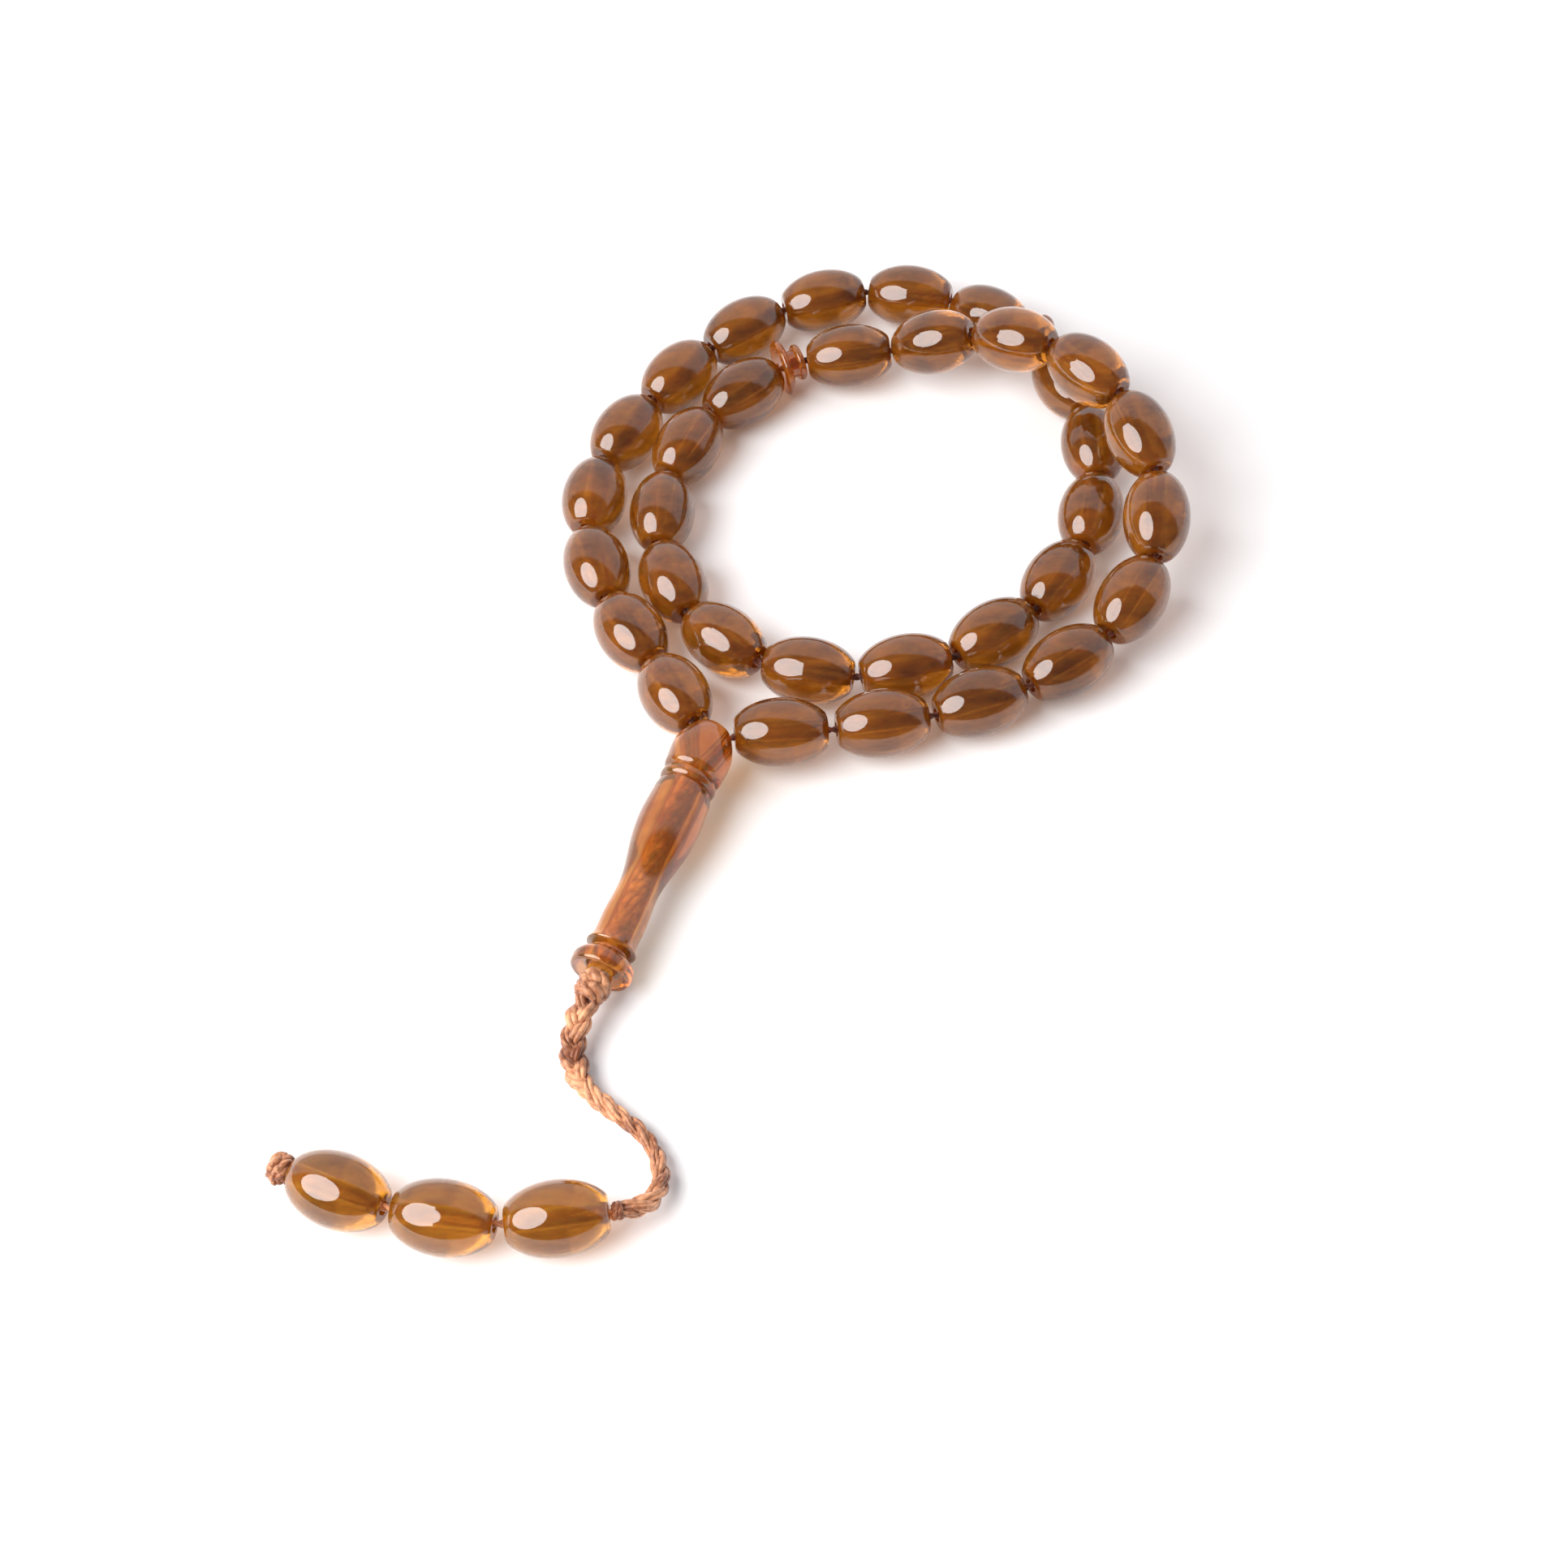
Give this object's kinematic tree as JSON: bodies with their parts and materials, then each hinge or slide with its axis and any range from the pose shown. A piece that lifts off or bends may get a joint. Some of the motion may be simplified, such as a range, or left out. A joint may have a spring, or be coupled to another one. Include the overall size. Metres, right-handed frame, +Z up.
{
  "type": "prayer bead strand",
  "caption": "Misbaha strand of glossy amber-brown barrel beads in a doubled loop, with dividers, a turned leader and a twisted tail cord carrying more beads.",
  "frame": {"origin": "middle of the outline of the beads and the leader in plan, on the surface that the strand lies on", "axes": "+Z up; the strand is laid out along Y with the doubled loop towards +Y and the tail towards -Y; the front of the laid-out strand, from where it is looked at, faces -Y; +X to the right"},
  "size_m": [0.1101, 0.1424, 0.0174],
  "materials": {
    "bead_resin": "polished translucent amber-brown resin",
    "divider_resin": "polished translucent amber resin",
    "leader_resin": "polished translucent orange-amber resin over the cord",
    "twisted_cord": "silky copper-tan twisted cord",
    "thread": "dark red-brown twisted thread"
  },
  "bodies": {
    "cord_and_leader": {"leader": "leader_resin", "leader_core_cord": "twisted_cord", "foot_knot": "twisted_cord", "loop_string": "thread", "tail_cord": "twisted_cord", "tail_thread": "thread", "end_knot": "twisted_cord"},
    "turning_bead_01": {"bead_01": "bead_resin"},
    "turning_bead_02": {"bead_02": "bead_resin"},
    "turning_bead_03": {"bead_03": "bead_resin"},
    "turning_bead_04": {"bead_04": "bead_resin"},
    "turning_bead_05": {"bead_05": "bead_resin"},
    "turning_bead_06": {"bead_06": "bead_resin"},
    "turning_bead_07": {"bead_07": "bead_resin"},
    "turning_bead_08": {"bead_08": "bead_resin"},
    "turning_bead_09": {"bead_09": "bead_resin"},
    "turning_bead_10": {"bead_10": "bead_resin"},
    "turning_bead_11": {"bead_11": "bead_resin"},
    "turning_bead_12": {"bead_12": "bead_resin"},
    "turning_bead_13": {"bead_13": "bead_resin"},
    "turning_bead_14": {"bead_14": "bead_resin"},
    "turning_bead_15": {"bead_15": "bead_resin"},
    "turning_bead_16": {"bead_16": "bead_resin"},
    "turning_bead_17": {"bead_17": "bead_resin"},
    "turning_bead_18": {"bead_18": "bead_resin"},
    "turning_bead_19": {"bead_19": "bead_resin"},
    "turning_bead_20": {"bead_20": "bead_resin"},
    "turning_bead_21": {"bead_21": "bead_resin"},
    "turning_bead_22": {"bead_22": "bead_resin"},
    "turning_bead_23": {"bead_23": "bead_resin"},
    "turning_bead_24": {"bead_24": "bead_resin"},
    "turning_bead_25": {"bead_25": "bead_resin"},
    "turning_bead_26": {"bead_26": "bead_resin"},
    "turning_bead_27": {"bead_27": "bead_resin"},
    "turning_bead_28": {"bead_28": "bead_resin"},
    "turning_bead_29": {"bead_29": "bead_resin"},
    "turning_bead_30": {"bead_30": "bead_resin"},
    "turning_bead_31": {"bead_31": "bead_resin"},
    "turning_bead_32": {"bead_32": "bead_resin"},
    "turning_bead_33": {"bead_33": "bead_resin"},
    "turning_divider_1": {"divider_1": "divider_resin"},
    "turning_divider_2": {"divider_2": "divider_resin"},
    "turning_tail_bead_1": {"tail_bead_1": "bead_resin"},
    "turning_tail_bead_2": {"tail_bead_2": "bead_resin"},
    "turning_tail_bead_3": {"tail_bead_3": "bead_resin"}
  },
  "joints": [
    {"name": "bead_01_turn", "type": "hinge", "parent": "cord_and_leader", "child": "turning_bead_01", "pos_m": [-0.01019, 0.00074, 0.00507], "axis": [-0.389, 0.9152, -0.1056], "continuous": true},
    {"name": "bead_02_turn", "type": "hinge", "parent": "cord_and_leader", "child": "turning_bead_02", "pos_m": [-0.0152, 0.01158, 0.00428], "axis": [-0.4464, 0.8944, -0.0273], "continuous": true},
    {"name": "bead_03_turn", "type": "hinge", "parent": "cord_and_leader", "child": "turning_bead_03", "pos_m": [-0.01912, 0.02277, 0.0041], "axis": [-0.2091, 0.9779, -0.0015], "continuous": true},
    {"name": "bead_04_turn", "type": "hinge", "parent": "cord_and_leader", "child": "turning_bead_04", "pos_m": [-0.01919, 0.03443, 0.0041], "axis": [0.1983, 0.9801, 0.0005], "continuous": true},
    {"name": "bead_05_turn", "type": "hinge", "parent": "cord_and_leader", "child": "turning_bead_05", "pos_m": [-0.01483, 0.04533, 0.0041], "axis": [0.5308, 0.8475, -0.0001], "continuous": true},
    {"name": "bead_06_turn", "type": "hinge", "parent": "cord_and_leader", "child": "turning_bead_06", "pos_m": [-0.00766, 0.05487, 0.0041], "axis": [0.6668, 0.7452, 0], "continuous": true},
    {"name": "bead_07_turn", "type": "hinge", "parent": "cord_and_leader", "child": "turning_bead_07", "pos_m": [0.00134, 0.06258, 0.0041], "axis": [0.8388, 0.5444, 0], "continuous": true},
    {"name": "bead_08_turn", "type": "hinge", "parent": "cord_and_leader", "child": "turning_bead_08", "pos_m": [0.01219, 0.06698, 0.0041], "axis": [0.9813, 0.1924, 0], "continuous": true},
    {"name": "bead_09_turn", "type": "hinge", "parent": "cord_and_leader", "child": "turning_bead_09", "pos_m": [0.02378, 0.06659, 0.0041], "axis": [0.9662, -0.2577, 0], "continuous": true},
    {"name": "bead_10_turn", "type": "hinge", "parent": "cord_and_leader", "child": "turning_bead_10", "pos_m": [0.03393, 0.0611, 0.0041], "axis": [0.7445, -0.6676, 0], "continuous": true},
    {"name": "bead_11_turn", "type": "hinge", "parent": "cord_and_leader", "child": "turning_bead_11", "pos_m": [0.04244, 0.04831, 0.0041], "axis": [0.3287, -0.9444, 0], "continuous": true},
    {"name": "bead_12_turn", "type": "hinge", "parent": "cord_and_leader", "child": "turning_bead_12", "pos_m": [0.04435, 0.03672, 0.0041], "axis": [-0.0066, -1, 0], "continuous": true},
    {"name": "bead_13_turn", "type": "hinge", "parent": "cord_and_leader", "child": "turning_bead_13", "pos_m": [0.04255, 0.02504, 0.0041], "axis": [-0.2952, -0.9554, 0], "continuous": true},
    {"name": "bead_14_turn", "type": "hinge", "parent": "cord_and_leader", "child": "turning_bead_14", "pos_m": [0.03716, 0.0146, 0.0041], "axis": [-0.6081, -0.7939, 0], "continuous": true},
    {"name": "bead_15_turn", "type": "hinge", "parent": "cord_and_leader", "child": "turning_bead_15", "pos_m": [0.02843, 0.00678, 0.0041], "axis": [-0.8561, -0.5167, 0], "continuous": true},
    {"name": "bead_16_turn", "type": "hinge", "parent": "cord_and_leader", "child": "turning_bead_16", "pos_m": [0.01744, 0.00276, 0.0041], "axis": [-0.9874, -0.1581, 0], "continuous": true},
    {"name": "bead_17_turn", "type": "hinge", "parent": "cord_and_leader", "child": "turning_bead_17", "pos_m": [0.00585, 0.00347, 0.0041], "axis": [-0.9604, 0.2786, 0], "continuous": true},
    {"name": "bead_18_turn", "type": "hinge", "parent": "cord_and_leader", "child": "turning_bead_18", "pos_m": [-0.00398, 0.00938, 0.0041], "axis": [-0.6956, 0.7184, -0.0001], "continuous": true},
    {"name": "bead_19_turn", "type": "hinge", "parent": "cord_and_leader", "child": "turning_bead_19", "pos_m": [-0.00977, 0.01935, 0.0041], "axis": [-0.2815, 0.9596, 0.0003], "continuous": true},
    {"name": "bead_20_turn", "type": "hinge", "parent": "cord_and_leader", "child": "turning_bead_20", "pos_m": [-0.0107, 0.03097, 0.0041], "axis": [0.125, 0.9922, -0.0005], "continuous": true},
    {"name": "bead_21_turn", "type": "hinge", "parent": "cord_and_leader", "child": "turning_bead_21", "pos_m": [-0.00704, 0.04209, 0.0041], "axis": [0.4893, 0.8721, 0.0003], "continuous": true},
    {"name": "bead_22_turn", "type": "hinge", "parent": "cord_and_leader", "child": "turning_bead_22", "pos_m": [0.00058, 0.05086, 0.0041], "axis": [0.7965, 0.6047, 0.0001], "continuous": true},
    {"name": "bead_23_turn", "type": "hinge", "parent": "cord_and_leader", "child": "turning_bead_23", "pos_m": [0.01475, 0.05557, 0.00467], "axis": [0.9973, -0.008, 0.0726], "continuous": true},
    {"name": "bead_24_turn", "type": "hinge", "parent": "cord_and_leader", "child": "turning_bead_24", "pos_m": [0.0258, 0.05388, 0.00761], "axis": [0.8649, -0.2752, 0.4197], "continuous": true},
    {"name": "bead_25_turn", "type": "hinge", "parent": "cord_and_leader", "child": "turning_bead_25", "pos_m": [0.03561, 0.04888, 0.01174], "axis": [0.7806, -0.5626, 0.2723], "continuous": true},
    {"name": "bead_26_turn", "type": "hinge", "parent": "cord_and_leader", "child": "turning_bead_26", "pos_m": [0.04383, 0.04077, 0.01331], "axis": [0.5999, -0.8, -0.0093], "continuous": true},
    {"name": "bead_27_turn", "type": "hinge", "parent": "cord_and_leader", "child": "turning_bead_27", "pos_m": [0.04892, 0.03039, 0.01196], "axis": [0.2544, -0.9427, -0.2157], "continuous": true},
    {"name": "bead_28_turn", "type": "hinge", "parent": "cord_and_leader", "child": "turning_bead_28", "pos_m": [0.04956, 0.01912, 0.00907], "axis": [-0.1468, -0.9516, -0.2701], "continuous": true},
    {"name": "bead_29_turn", "type": "hinge", "parent": "cord_and_leader", "child": "turning_bead_29", "pos_m": [0.04524, 0.00876, 0.00631], "axis": [-0.5805, -0.7906, -0.195], "continuous": true},
    {"name": "bead_30_turn", "type": "hinge", "parent": "cord_and_leader", "child": "turning_bead_30", "pos_m": [0.03662, 0.00112, 0.00466], "axis": [-0.8669, -0.4917, -0.0818], "continuous": true},
    {"name": "bead_31_turn", "type": "hinge", "parent": "cord_and_leader", "child": "turning_bead_31", "pos_m": [0.02567, -0.00339, 0.00418], "axis": [-0.9646, -0.2637, 0.0014], "continuous": true},
    {"name": "bead_32_turn", "type": "hinge", "parent": "cord_and_leader", "child": "turning_bead_32", "pos_m": [0.01394, -0.00564, 0.0045], "axis": [-0.9922, -0.1132, 0.0517], "continuous": true},
    {"name": "bead_33_turn", "type": "hinge", "parent": "cord_and_leader", "child": "turning_bead_33", "pos_m": [0.00202, -0.00641, 0.00526], "axis": [-0.9971, -0.0149, 0.0747], "continuous": true},
    {"name": "divider_1_turn", "type": "hinge", "parent": "cord_and_leader", "child": "turning_divider_1", "pos_m": [0.03958, 0.05565, 0.0041], "axis": [0.5542, -0.8324, 0], "continuous": true},
    {"name": "divider_2_turn", "type": "hinge", "parent": "cord_and_leader", "child": "turning_divider_2", "pos_m": [0.00696, 0.05535, 0.00413], "axis": [0.9482, 0.3154, 0.0384], "continuous": true},
    {"name": "tail_bead_1_turn", "type": "hinge", "parent": "cord_and_leader", "child": "turning_tail_bead_1", "pos_m": [-0.02506, -0.06706, 0.0041], "axis": [-0.9986, -0.0523, 0], "continuous": true},
    {"name": "tail_bead_2_turn", "type": "hinge", "parent": "cord_and_leader", "child": "turning_tail_bead_2", "pos_m": [-0.03687, -0.06593, 0.0041], "axis": [-0.9703, 0.2419, 0], "continuous": true},
    {"name": "tail_bead_3_turn", "type": "hinge", "parent": "cord_and_leader", "child": "turning_tail_bead_3", "pos_m": [-0.04804, -0.06175, 0.0041], "axis": [-0.891, 0.454, 0], "continuous": true}
  ]
}
